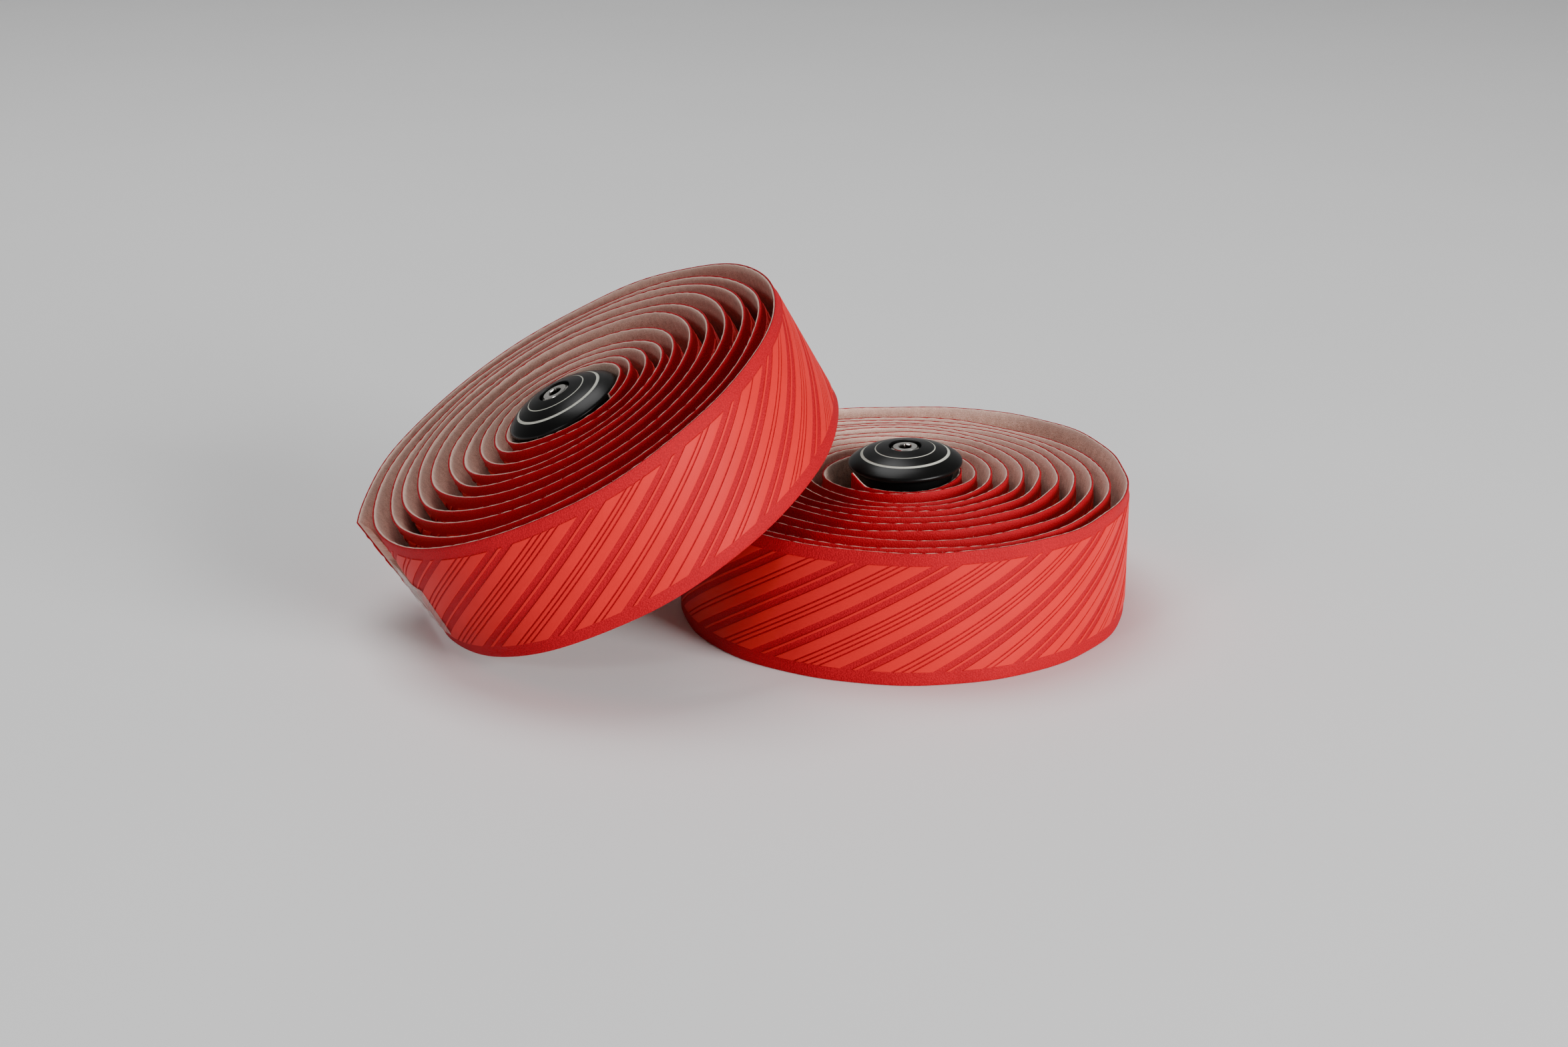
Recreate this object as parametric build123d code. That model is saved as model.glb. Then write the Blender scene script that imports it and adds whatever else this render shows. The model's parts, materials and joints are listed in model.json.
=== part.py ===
"""Handlebar tape set: two coiled padded tapes, each holding an expanding bar-end plug.

One coil lies flat on the floor and the other leans on its left side. Millimetres, +Z up.
The origin is the centre of the set's footprint on the floor, and +X runs along its length.
"""
import math
import os

from build123d import *

os.makedirs("parts", exist_ok=True)

# ---- tape ------------------------------------------------------------------------------
TAPE_WIDTH = 33.0
FACE_THICKNESS = 0.4
TAPE_THICKNESS = 2.2          # face and foam together, in the middle of the width
EDGE_THICKNESS = 1.0          # face and foam together, at each cut edge
TAPER_WIDTH = 5.0             # the foam thins out over this width at each edge
FACE_SETBACK = 0.1            # the face is cut this much short of the foam at each edge
SLOPE_GAIN = 1.25             # how closely the curve's slope at a side follows its neighbours

# Distance from the coil's centre line to the tape's face, turn by turn, on its four sides.
SIDES = ["right", "back", "left", "front"]         # in the order the tape is wound
FLAT_TURNS = {
    "front": [14.0, 17.0, 23.5, 26.8, 30.5, 34.7, 39.0, 45.0, 51.2, 57.3, 60.0],
    "right": [14.0, 17.8, 21.8, 25.8, 29.9, 33.9, 38.4, 42.5, 46.6, 50.6, 55.7],
    "back": [20.3, 24.6, 29.0, 33.2, 37.0, 40.2, 42.7, 45.2, 47.7, 50.2, 61.3],
    "left": [21.3, 25.3, 29.2, 33.2, 37.0, 40.8, 44.8, 49.0, 53.5, 57.0],
}
FLAT_START = [(160, 18.2), (180, 17.8)]            # angle in degrees, distance
FLAT_END = [(45, 60.9), (68, 62.0), (150, 57.4)]   # the last turn stands off at the back
FLAT_END_SLANT = 0.0          # how far the outer end's lower corner is cut back

LEANING_TURNS = {
    "front": [15.65, 19.5, 24.4, 28.2, 32.1, 36.9, 42.3, 47.2, 53.5, 56.9],
    "right": [17.0, 21.4, 25.6, 29.0, 33.5, 38.2, 43.1, 48.1, 52.3, 56.6],
    "back": [19.6, 22.6, 25.6, 31.7, 39.0, 41.7, 46.5, 49.1, 51.7, 57.0],
    "left": [22.0, 26.0, 30.2, 34.7, 39.7, 43.9, 47.8, 51.0, 55.8, 59.9],
}
LEANING_START = [(-30, 13.5), (0, 13.85), (90, 17.05), (180, 18.65)]
LEANING_END = [(135, 57.3), (190, 60.7)]           # the end springs away from the coil
LEANING_END_SLANT = 6.5

# ---- where the leaning coil stands -----------------------------------------------------
LEANING_BASE = (-67.24, -12.10, 28.45)             # centre of its lower side
LEANING_AXIS = (-0.536, -0.180, 1.0)

# ---- closing films ---------------------------------------------------------------------
FILM_THICKNESS = 0.12
FILM_GAP = 0.05
FILM_WIDTH = 14.0
FILM_BOTTOM = 5.0
FILM_ON_END = 14.0            # length stuck to the tape's end
FILM_ON_TURN = 9.0            # length stuck to the turn below

# ---- bar-end plug: heights are measured up from the cap's underside --------------------
CAP_RADIUS = 14.4
CAP_RIM_HEIGHT = 1.15
CAP_RIM_ROUND = 0.55
CAP_RIM_SHOULDER = 14.1
CAP_UNDERSIDE_RADIUS = 13.3
LINE_RADIUS = 11.3            # engraved line round the dome
LINE_HEIGHT = 3.4
LINE_WIDTH = 0.35
LINE_DEPTH = 0.12
CROWN_HEIGHT = 5.75
DOME_RISE = CROWN_HEIGHT - LINE_HEIGHT
DOME_RADIUS = (LINE_RADIUS**2 + DOME_RISE**2) / (2 * DOME_RISE)
COLLAR_RADIUS = 11.9
COLLAR_LENGTH = 4.4
COLLAR_GROOVE_TOP = 2.5
COLLAR_GROOVE_WIDTH = 0.7
COLLAR_GROOVE_DEPTH = 0.5

HEAD_RADIUS = 3.5
HEAD_HEIGHT = 4.0
HEAD_TOP = 5.2
HEAD_CLEARANCE = 0.6
HEAD_CHAMFER = 0.3
HEX_ACROSS_FLATS = 3.0
HEX_DEPTH = 2.0
SHANK_RADIUS = 2.0
SHANK_LENGTH = 30.0
SHANK_CHAMFER = 0.4
THREAD_PITCH = 0.7
THREAD_CLEARANCE = 0.05
BORE_CLEARANCE = 0.15
WASHER_THICKNESS = 0.5
WASHER_CLEARANCE = 0.2

TAIL_LENGTH = 34.2            # below the cap's underside
JAW_COUNT = 3
JAW_RADIUS = 9.8
JAW_BORE_RADIUS = 3.0
JAW_SLOT = 1.2
JAW_GAP = 0.1                 # between the collar and the jaws
CONE_TOP_RADIUS = 5.0
CONE_TOP = 20.0               # below the cap's underside
CONE_SLOPE = 0.165            # growth in radius for each millimetre down
CONE_CLEARANCE = 0.12
SCREW_TURNS = 4
FLANGE_RADIUS = 9.3
FLANGE_HEIGHT = 3.2
FLANGE_CHAMFER = 0.5
FLANGE_CLEARANCE = 0.2        # left under the jaws when the plug is tight
KEY_WIDTH = 0.8
KEY_ROOT = 3.7                # inside the cone's wall, clear of the insert's pocket
KEY_RADIUS = 8.1
KEY_LENGTH = 9.0
INSERT_RADIUS = 3.2
INSERT_LENGTH = 8.5
INSERT_CLEARANCE = 0.02
RING_SECTION = 0.75
RING_CLEARANCE = 0.05
RING_DEPTHS = (8.4, 22.6)     # below the cap's underside
RIB_DEPTHS = (11.6, 14.6, 17.6)
RIB_WIDTH = 0.8
RIB_GROOVE = 0.4

FLAT_PLUG_FOOT = (0.8, 2.85, 0.6)                  # middle of its tail, which rests on one edge
FLAT_PLUG_AXIS = (-0.032, -0.048, 1.0)
LEANING_PLUG_PLACE = (-2.6, 0.8)                   # in the leaning coil's upper plane
LEANING_PLUG_SINK = 1.7                            # cap's underside below that plane
LEANING_PLUG_AXIS = (-0.497, -0.141, 1.0)

TRAVEL = SCREW_TURNS * THREAD_PITCH
OVERSHOOT = 1.0               # how far a cutting tool runs past what it cuts
UP = Vector(0, 0, 1)


# ---- the coils' curves -----------------------------------------------------------------
def coil_knots(turns, start, end):
    """Angle and distance of each knot, from the tape's inner end to its outer end."""
    knots = list(start)
    angle = 90 * (start[-1][0] // 90)
    passed = dict.fromkeys(SIDES, 0)
    while True:
        angle += 90
        side = SIDES[int(angle // 90) % 4]
        if passed[side] == len(turns[side]):
            break
        knots.append((angle, turns[side][passed[side]]))
        passed[side] += 1
    last = knots[-1][0]
    whole = 360 * math.ceil((last - end[-1][0]) / 360)
    return sorted(knots + [(whole + a, r) for a, r in end])


def coil_points(knots):
    """The point and the unit tangent where the face's curve crosses each knot."""
    points = []
    for i, (angle, distance) in enumerate(knots):
        low = knots[max(i - 1, 0)]
        high = knots[min(i + 1, len(knots) - 1)]
        slope = SLOPE_GAIN * (high[1] - low[1]) / math.radians(high[0] - low[0])
        turn = math.radians(angle)
        radial = Vector(math.cos(turn), math.sin(turn))
        along = Vector(-math.sin(turn), math.cos(turn))
        points.append((radial * distance, (radial * slope + along * distance).normalized()))
    return points


def two_arcs(a, ta, b, tb):
    """Two arcs that leave a along ta, reach b along tb and share a tangent where they meet."""
    chord = b - a
    both = ta + tb
    turned = 2 * (1 - ta.dot(tb))
    reach = chord.dot(both)
    lead = (math.sqrt(reach**2 + turned * chord.dot(chord)) - reach) / turned
    middle = (a + b + (ta - tb) * lead) * 0.5
    heading = (b - tb * lead) - (a + ta * lead)
    first = Edge.make_tangent_arc(a, ta, middle)
    second = Edge.make_tangent_arc(middle, heading.normalized(), b)
    return [first, second]


def coil_edges(points):
    """The face's curve as tangent arcs, from the inner end to the outer end."""
    edges = []
    for (a, ta), (b, tb) in zip(points, points[1:]):
        edges += two_arcs(a, ta, b, tb)
    return edges


def carry(outline, points, edges):
    """Carry an outline of (distance inside the face, height) along the coil's curve."""
    start, tangent = points[0]
    inward = Vector(-tangent.Y, tangent.X)
    corners = [start + inward * inside + UP * height for inside, height in outline]
    face = Face(Wire.make_polygon(corners, close=True))
    return sweep(face, path=Wire(edges))


def tape_face(points, edges):
    """The thin printed face, rolled up outwards."""
    low = FACE_SETBACK
    high = TAPE_WIDTH - FACE_SETBACK
    outline = [(0, low), (FACE_THICKNESS, low), (FACE_THICKNESS, high), (0, high)]
    return carry(outline, points, edges)


def tape_foam(points, edges):
    """The foam backing, which thins out towards both cut edges."""
    top = TAPE_WIDTH
    outline = [
        (FACE_THICKNESS, 0),
        (EDGE_THICKNESS, 0),
        (TAPE_THICKNESS, TAPER_WIDTH),
        (TAPE_THICKNESS, top - TAPER_WIDTH),
        (EDGE_THICKNESS, top),
        (FACE_THICKNESS, top),
    ]
    return carry(outline, points, edges)


# ---- closing films ---------------------------------------------------------------------
def on_circle(centre, radius, degrees):
    """The point of a circle at an angle."""
    turn = math.radians(degrees)
    return centre + Vector(math.cos(turn), math.sin(turn)) * radius


def bearing(centre, point):
    """Angle in degrees of a point seen from a centre."""
    return math.degrees(math.atan2(point.Y - centre.Y, point.X - centre.X))


def landing(tip, edge, offset):
    """Where a film pulled tight from the tip first lies on an arc, as centre, radius, angle."""
    centre = edge.arc_center
    radius = edge.radius + offset
    away = (tip - centre).length
    if away <= radius:
        return None
    angle = bearing(centre, tip) + math.degrees(math.acos(radius / away))
    first = bearing(centre, edge.position_at(0))
    whole = math.degrees(edge.length / edge.radius)
    passed = (angle - first) % 360
    if passed > whole:
        return None
    return centre, radius, angle, min(whole - passed, math.degrees(FILM_ON_TURN / radius))


def closing_film(edges):
    """Clear film from the tape's outer end, across the step, onto the turn below."""
    offset = FILM_GAP + FILM_THICKNESS / 2
    last = edges[-1]
    centre = last.arc_center
    radius = last.radius + offset
    end_angle = bearing(centre, last.position_at(1))
    back = math.degrees(min(FILM_ON_END, last.length) / radius)
    tip = on_circle(centre, radius, end_angle)
    root = on_circle(centre, radius, end_angle - back)
    half = on_circle(centre, radius, end_angle - back / 2)
    inner_edges = reversed(edges[:-2])
    landings = [landing(tip, edge, offset) for edge in inner_edges]
    turn_centre, turn_radius, angle, run = next(found for found in landings if found)
    foot = on_circle(turn_centre, turn_radius, angle)
    stuck = on_circle(turn_centre, turn_radius, angle + run)
    middle = on_circle(turn_centre, turn_radius, angle + run / 2)
    lines = [
        Edge.make_three_point_arc(root, half, tip),
        Edge.make_line(tip, foot),
        Edge.make_three_point_arc(foot, middle, stuck),
    ]
    film = trace(lines, line_width=FILM_THICKNESS)
    return Pos(0, 0, FILM_BOTTOM) * extrude(film, amount=FILM_WIDTH)


# ---- bar-end plug ----------------------------------------------------------------------
def ring_cut(radius, depth, height, width):
    """A tool that turns a groove of a depth and a width into a round face."""
    outer = Cylinder(radius + OVERSHOOT, width)
    return Pos(0, 0, height) * (outer - Cylinder(radius - depth, width))


def dome_height(radius):
    """Height of the cap's dome at a distance from its axis."""
    return CROWN_HEIGHT - DOME_RADIUS + math.sqrt(DOME_RADIUS**2 - radius**2)


def plug_cap():
    """Domed cap with its collar, turned from one bar."""
    floor = HEAD_TOP - HEAD_HEIGHT - WASHER_THICKNESS
    bore = SHANK_RADIUS + BORE_CLEARANCE
    well = HEAD_RADIUS + HEAD_CLEARANCE
    lip = (well, dome_height(well))
    middle = (well + LINE_RADIUS) / 2
    slope = Vector(DOME_RADIUS - DOME_RISE, -LINE_RADIUS)
    shoulder = (CAP_RIM_SHOULDER, CAP_RIM_HEIGHT + CAP_RIM_ROUND)
    hip = (CAP_RIM_SHOULDER, CAP_RIM_HEIGHT - CAP_RIM_ROUND)
    lines = Curve() + [
        Polyline((bore, floor), (bore, -COLLAR_LENGTH), (COLLAR_RADIUS, -COLLAR_LENGTH),
                 (COLLAR_RADIUS, 0), (CAP_UNDERSIDE_RADIUS, 0), hip),
        ThreePointArc(hip, (CAP_RADIUS, CAP_RIM_HEIGHT), shoulder),
        TangentArc((LINE_RADIUS, LINE_HEIGHT), shoulder, tangent=slope),
        ThreePointArc((LINE_RADIUS, LINE_HEIGHT), (middle, dome_height(middle)), lip),
        Polyline(lip, (well, floor), (bore, floor)),
    ]
    cap = revolve(Plane.XZ * make_face(lines), Axis.Z)
    groove_middle = -COLLAR_GROOVE_TOP - COLLAR_GROOVE_WIDTH / 2
    cap -= ring_cut(COLLAR_RADIUS, COLLAR_GROOVE_DEPTH, groove_middle, COLLAR_GROOVE_WIDTH)
    line_middle = LINE_RADIUS - LINE_WIDTH / 2
    line = Pos(line_middle, dome_height(line_middle)) * Rectangle(LINE_WIDTH, 2 * LINE_DEPTH)
    return cap - revolve(Plane.XZ * line, Axis.Z)


def plug_washer():
    """Thin washer on the floor of the cap's well."""
    disc = Cylinder(HEAD_RADIUS + HEAD_CLEARANCE - WASHER_CLEARANCE, WASHER_THICKNESS)
    hole = Cylinder(SHANK_RADIUS + BORE_CLEARANCE, WASHER_THICKNESS)
    return Pos(0, 0, HEAD_TOP - HEAD_HEIGHT - WASHER_THICKNESS / 2) * (disc - hole)


def plug_screw():
    """Socket-head screw: one hexagon socket, a plain shank of the thread's outer size."""
    seat = HEAD_TOP - HEAD_HEIGHT
    head = Pos(0, 0, seat + HEAD_HEIGHT / 2) * Cylinder(HEAD_RADIUS, HEAD_HEIGHT)
    head = chamfer(head.edges().sort_by(Axis.Z)[-1:], HEAD_CHAMFER)
    shank = Pos(0, 0, seat - SHANK_LENGTH / 2) * Cylinder(SHANK_RADIUS, SHANK_LENGTH)
    shank = chamfer(shank.edges().sort_by(Axis.Z)[:1], SHANK_CHAMFER)
    socket = RegularPolygon(HEX_ACROSS_FLATS / 2, 6, major_radius=False)
    return head + shank - Pos(0, 0, HEAD_TOP - HEX_DEPTH) * extrude(socket, amount=HEX_DEPTH)


def cone_radius(depth, clearance=0.0):
    """Radius of the wedge's cone at a depth below the cap's underside, at rest."""
    return CONE_TOP_RADIUS + clearance + CONE_SLOPE * (depth - CONE_TOP)


def plug_wedge():
    """Cone-shaped nut holder with a base flange and a key for each slot between the jaws."""
    base = TAIL_LENGTH - FLANGE_HEIGHT
    pocket = INSERT_RADIUS + INSERT_CLEARANCE
    bore = SHANK_RADIUS + BORE_CLEARANCE
    outline = Polyline(
        (bore, -CONE_TOP), (CONE_TOP_RADIUS, -CONE_TOP), (cone_radius(base), -base),
        (FLANGE_RADIUS, -base), (FLANGE_RADIUS, FLANGE_CHAMFER - TAIL_LENGTH),
        (FLANGE_RADIUS - FLANGE_CHAMFER, -TAIL_LENGTH), (pocket, -TAIL_LENGTH),
        (pocket, INSERT_LENGTH - TAIL_LENGTH), (bore, INSERT_LENGTH - TAIL_LENGTH), (bore, -CONE_TOP),
    )
    wedge = revolve(Plane.XZ * make_face(outline), Axis.Z)
    key = Box(KEY_RADIUS - KEY_ROOT, KEY_WIDTH, KEY_LENGTH)
    for i in range(JAW_COUNT):
        place = Pos((KEY_RADIUS + KEY_ROOT) / 2, 0, KEY_LENGTH / 2 - base)
        wedge += Rot(0, 0, 360 / JAW_COUNT * (i + 0.5)) * place * key
    return wedge


def plug_insert():
    """Threaded brass insert, pressed into the wedge from below."""
    outer = Cylinder(INSERT_RADIUS, INSERT_LENGTH)
    thread = Cylinder(SHANK_RADIUS + THREAD_CLEARANCE, INSERT_LENGTH)
    return Pos(0, 0, INSERT_LENGTH / 2 - TAIL_LENGTH) * (outer - thread)


def plug_jaws():
    """Split expander: equal jaws round the screw, opened by the wedge's cone."""
    top = COLLAR_LENGTH + JAW_GAP
    bottom = TAIL_LENGTH - FLANGE_HEIGHT - TRAVEL - FLANGE_CLEARANCE
    flare = CONE_TOP - (CONE_TOP_RADIUS + CONE_CLEARANCE - JAW_BORE_RADIUS) / CONE_SLOPE
    outline = Polyline(
        (JAW_BORE_RADIUS, -top), (JAW_RADIUS, -top), (JAW_RADIUS, -bottom),
        (cone_radius(bottom, CONE_CLEARANCE), -bottom), (JAW_BORE_RADIUS, -flare),
        (JAW_BORE_RADIUS, -top),
    )
    sleeve = revolve(Plane.XZ * make_face(outline), Axis.Z)
    width = 2 * (RING_SECTION + RING_CLEARANCE)
    for depth in RING_DEPTHS:
        sleeve -= ring_cut(JAW_RADIUS, width, -depth, width)
    for depth in RIB_DEPTHS:
        sleeve -= ring_cut(JAW_RADIUS, RIB_GROOVE, -depth, RIB_WIDTH)
    reach = JAW_RADIUS + OVERSHOOT
    slot = Pos(reach / 2, 0, -TAIL_LENGTH / 2) * Box(reach, JAW_SLOT, TAIL_LENGTH)
    for i in range(JAW_COUNT):
        sleeve -= Rot(0, 0, 360 / JAW_COUNT * (i + 0.5)) * slot
    jaw = sleeve.solids().sort_by(Axis.X)[-1]
    return [Rot(0, 0, 360 / JAW_COUNT * i) * jaw for i in range(JAW_COUNT)]


def plug_ring(depth):
    """Rubber ring that holds the jaws together."""
    radius = JAW_RADIUS - RING_SECTION - RING_CLEARANCE
    return Pos(0, 0, -depth) * Torus(radius, RING_SECTION)


def plug_pieces(name):
    """Every piece of one plug, by node name, standing on its own axis."""
    pieces = {
        "cap": plug_cap(),
        "screw": plug_screw(),
        "washer": plug_washer(),
        "wedge": plug_wedge(),
        "insert": plug_insert(),
    }
    for i, jaw in enumerate(plug_jaws()):
        pieces[f"jaw_{i + 1}"] = jaw
    for i, depth in enumerate(RING_DEPTHS):
        pieces[f"ring_{i + 1}"] = plug_ring(depth)
    return {f"{name}_{piece}": shape for piece, shape in pieces.items()}


# ---- the set ---------------------------------------------------------------------------
def cut_slant(shape, points, slant):
    """Cut the outer end of a tape back at its lower corner."""
    if slant == 0:
        return shape
    end, along = points[-1]
    inward = Vector(-along.Y, along.X)
    outline = [
        (0, TAPE_WIDTH),
        (-slant, 0),
        (-slant, -OVERSHOOT),
        (OVERSHOOT, -OVERSHOOT),
        (OVERSHOOT, TAPE_WIDTH),
    ]
    corners = [end - inward * OVERSHOOT + along * s + UP * height for s, height in outline]
    waste = Face(Wire.make_polygon(corners, close=True))
    return shape - extrude(waste, amount=TAPE_THICKNESS + 2 * OVERSHOOT, dir=inward)


def coil_pieces(name, turns, start, end, slant):
    """The pieces of one coiled tape, by node name."""
    points = coil_points(coil_knots(turns, start, end))
    edges = coil_edges(points)
    return {
        f"{name}_tape_face": cut_slant(tape_face(points, edges), points, slant),
        f"{name}_tape_foam": cut_slant(tape_foam(points, edges), points, slant),
        f"{name}_closing_film": closing_film(edges),
    }


def upright(origin, axis):
    """A plane with +Z along an axis and +X as near the set's +X as that allows."""
    ahead = Vector(*axis).cross(Vector(1, 0, 0))
    return Plane(origin=origin, x_dir=ahead.cross(Vector(*axis)), z_dir=axis)


def tape_set():
    """Every piece of the set, by node name, before the set is centred."""
    pieces = coil_pieces("flat", FLAT_TURNS, FLAT_START, FLAT_END, FLAT_END_SLANT)
    leaning = coil_pieces("leaning", LEANING_TURNS, LEANING_START, LEANING_END, LEANING_END_SLANT)
    leaning_plane = upright(LEANING_BASE, LEANING_AXIS)
    for name, shape in leaning.items():
        pieces[name] = leaning_plane.location * shape
    flat_axis = Vector(*FLAT_PLUG_AXIS).normalized()
    flat_top = Vector(*FLAT_PLUG_FOOT) + flat_axis * TAIL_LENGTH
    for name, shape in plug_pieces("flat_plug").items():
        pieces[name] = upright(flat_top, FLAT_PLUG_AXIS).location * shape
    x, y = LEANING_PLUG_PLACE
    leaning_top = leaning_plane.from_local_coords(Vector(x, y, TAPE_WIDTH - LEANING_PLUG_SINK))
    for name, shape in plug_pieces("leaning_plug").items():
        pieces[name] = upright(leaning_top, LEANING_PLUG_AXIS).location * shape
    return pieces


pieces = tape_set()
solids = [solid for shape in pieces.values() for solid in shape.solids()]
box = Compound(solids).bounding_box()
to_origin = Pos(-box.center().X, -box.center().Y, -box.min.Z)
for node, shape in pieces.items():
    export_step(to_origin * shape, f"parts/{node}.step")
print("moved by", to_origin.position)
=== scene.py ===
"""Two coiled handlebar tapes, one lying flat and one leaning on it, each with a bar-end plug in its core."""
import json
import bpy
import numpy as np
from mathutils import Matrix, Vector


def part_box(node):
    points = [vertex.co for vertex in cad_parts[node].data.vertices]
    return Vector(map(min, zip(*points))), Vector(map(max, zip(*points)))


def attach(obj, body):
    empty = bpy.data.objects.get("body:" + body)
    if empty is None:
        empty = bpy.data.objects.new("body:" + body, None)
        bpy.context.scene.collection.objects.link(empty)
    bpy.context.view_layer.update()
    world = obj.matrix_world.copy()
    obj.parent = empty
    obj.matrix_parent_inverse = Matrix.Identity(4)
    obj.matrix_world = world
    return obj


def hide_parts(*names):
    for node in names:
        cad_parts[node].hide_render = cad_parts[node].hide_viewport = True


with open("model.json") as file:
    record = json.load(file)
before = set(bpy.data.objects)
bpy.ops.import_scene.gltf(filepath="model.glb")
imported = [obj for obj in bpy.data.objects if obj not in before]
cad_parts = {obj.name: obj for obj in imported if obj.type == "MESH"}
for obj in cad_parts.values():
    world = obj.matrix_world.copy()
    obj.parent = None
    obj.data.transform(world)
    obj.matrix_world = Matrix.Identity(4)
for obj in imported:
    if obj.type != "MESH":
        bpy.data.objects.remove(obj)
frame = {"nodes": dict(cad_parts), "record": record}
joints = {joint["name"]: joint for joint in frame["record"]["behaviour"]["joints"]}
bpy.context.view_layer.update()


# ==== Tape faces ========================================================================
# The face is a thin red imitation leather, laminated to foam and hot-pressed, which leaves
# slanted smooth strips standing above a grained ground. Each tape is coiled by hand, face out,
# so every turn lies at its own distance. All lengths below are millimetres.
SIDES = ["right", "back", "left", "front"]
TAPE_WIDTH = 33.0
FACE_THICKNESS = 0.4
EDGE_SWAY, EDGE_LIFT = 0.24, 0.22     # how far the soft edges waver, in and out and up
STEADY_END = 25.0                     # the wavering dies out over this length at the outer end
TIP_LENGTH = 4.5                      # the inner end's upper corner rises over this length

FLAT = dict(
    turns={
        "front": [14.0, 17.0, 23.5, 26.8, 30.5, 34.7, 39.0, 45.0, 51.2, 57.3, 60.0],
        "right": [14.0, 17.8, 21.8, 25.8, 29.9, 33.9, 38.4, 42.5, 46.6, 50.6, 55.7],
        "back": [20.3, 24.6, 29.0, 33.2, 37.0, 40.2, 42.7, 45.2, 47.7, 50.2, 61.3],
        "left": [21.3, 25.3, 29.2, 33.2, 37.0, 40.8, 44.8, 49.0, 53.5, 57.0],
    },
    start=[(160, 18.2), (180, 17.8)],
    end=[(45, 60.9), (68, 62.0), (150, 57.4)],
    slant=0.0,
    inner_end=15.0,           # the seen tape starts this far along its solid
    tip=2.6,                  # height of the drawn-up corner of the inner end
    axis=(0.0, 0.0, 1.0),
    single_groove=-55.0,
    seed=3,
)
LEANING = dict(
    turns={
        "front": [15.65, 19.5, 24.4, 28.2, 32.1, 36.9, 42.3, 47.2, 53.5, 56.9],
        "right": [17.0, 21.4, 25.6, 29.0, 33.5, 38.2, 43.1, 48.1, 52.3, 56.6],
        "back": [19.6, 22.6, 25.6, 31.7, 39.0, 41.7, 46.5, 49.1, 51.7, 57.0],
        "left": [22.0, 26.0, 30.2, 34.7, 39.7, 43.9, 47.8, 51.0, 55.8, 59.9],
    },
    start=[(-30, 13.5), (0, 13.85), (90, 17.05), (180, 18.65)],
    end=[(135, 57.3), (190, 60.7)],
    slant=6.5,
    inner_end=0.0,
    tip=0.0,
    axis=(-0.536, -0.180, 1.0),
    single_groove=-76.5,
    seed=8,
)


def unit(v):
    """Vectors divided by their lengths, along the last axis."""
    v = np.asarray(v, float)
    return v / np.linalg.norm(v, axis=-1, keepdims=True)


def left_of(v):
    """Plane vectors turned a quarter turn to the left."""
    return np.stack([-v[..., 1], v[..., 0]], -1)


def cross2(a, b):
    return a[..., 0] * b[..., 1] - a[..., 1] * b[..., 0]


def axis_frame(axis):
    """Rows x, y, z of a frame with z along an axis and x as near +X as that allows."""
    z = unit(axis)
    x = unit(np.cross(np.cross(z, (1.0, 0.0, 0.0)), z))
    return np.array([x, np.cross(z, x), z])


def coil_arcs(coil):
    """The coil as arcs. Knots lie at given angles and distances, with a tangent whose slope
    follows the knots on each side. Two arcs with a shared tangent join each pair of knots.
    Each arc is kept as start point, tangent, curvature and length."""
    knots = list(coil["start"])
    angle = 90 * (knots[-1][0] // 90)
    passed = dict.fromkeys(SIDES, 0)
    while passed[SIDES[(angle // 90 + 1) % 4]] < len(coil["turns"][SIDES[(angle // 90 + 1) % 4]]):
        angle += 90
        side = SIDES[(angle // 90) % 4]
        knots.append((angle, coil["turns"][side][passed[side]]))
        passed[side] += 1
    whole = 360 * -((coil["end"][-1][0] - knots[-1][0]) // 360)
    knots = np.array(sorted(knots + [(whole + a, r) for a, r in coil["end"]]), float)
    turn, distance = np.radians(knots[:, 0]), knots[:, 1]
    low = np.maximum(np.arange(len(turn)) - 1, 0)
    high = np.minimum(np.arange(len(turn)) + 1, len(turn) - 1)
    slope = 1.25 * (distance[high] - distance[low]) / (turn[high] - turn[low])
    radial = np.stack([np.cos(turn), np.sin(turn)], -1)
    points = radial * distance[:, None]
    tangents = unit(radial * slope[:, None] + left_of(radial) * distance[:, None])
    a, b, ta, tb = points[:-1], points[1:], tangents[:-1], tangents[1:]
    turned = 2 * (1 - (ta * tb).sum(-1))
    reach = ((b - a) * (ta + tb)).sum(-1)
    chord2 = ((b - a) ** 2).sum(-1)
    lead = ((np.sqrt(reach**2 + turned * chord2) - reach) / turned)[:, None]
    middle = (a + b + (ta - tb) * lead) / 2
    heading = unit((b - tb * lead) - (a + ta * lead))
    start = np.stack([a, middle], 1).reshape(-1, 2)
    tangent = np.stack([ta, heading], 1).reshape(-1, 2)
    chord = np.stack([middle, b], 1).reshape(-1, 2) - start
    half = np.arctan2(cross2(tangent, chord), (tangent * chord).sum(-1))
    size = np.linalg.norm(chord, axis=-1)
    return start, tangent, 2 * np.sin(half) / size, size * half / np.sin(half), turn


def along_coil(coil, s):
    """Point and tangent on the face's curve at a length s from the tape's inner end."""
    start, tangent, bend, length, _ = coil["arcs"]
    ends = np.cumsum(length)
    i = np.clip(np.searchsorted(ends, s), 0, len(ends) - 1)
    turned = bend[i] * (s - ends[i] + length[i])
    ahead = tangent[i] * (np.sin(turned) / bend[i])[..., None]
    aside = left_of(tangent[i]) * ((1 - np.cos(turned)) / bend[i])[..., None]
    way = tangent[i] * np.cos(turned)[..., None] + left_of(tangent[i]) * np.sin(turned)[..., None]
    return start[i] + ahead + aside, way


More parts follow.
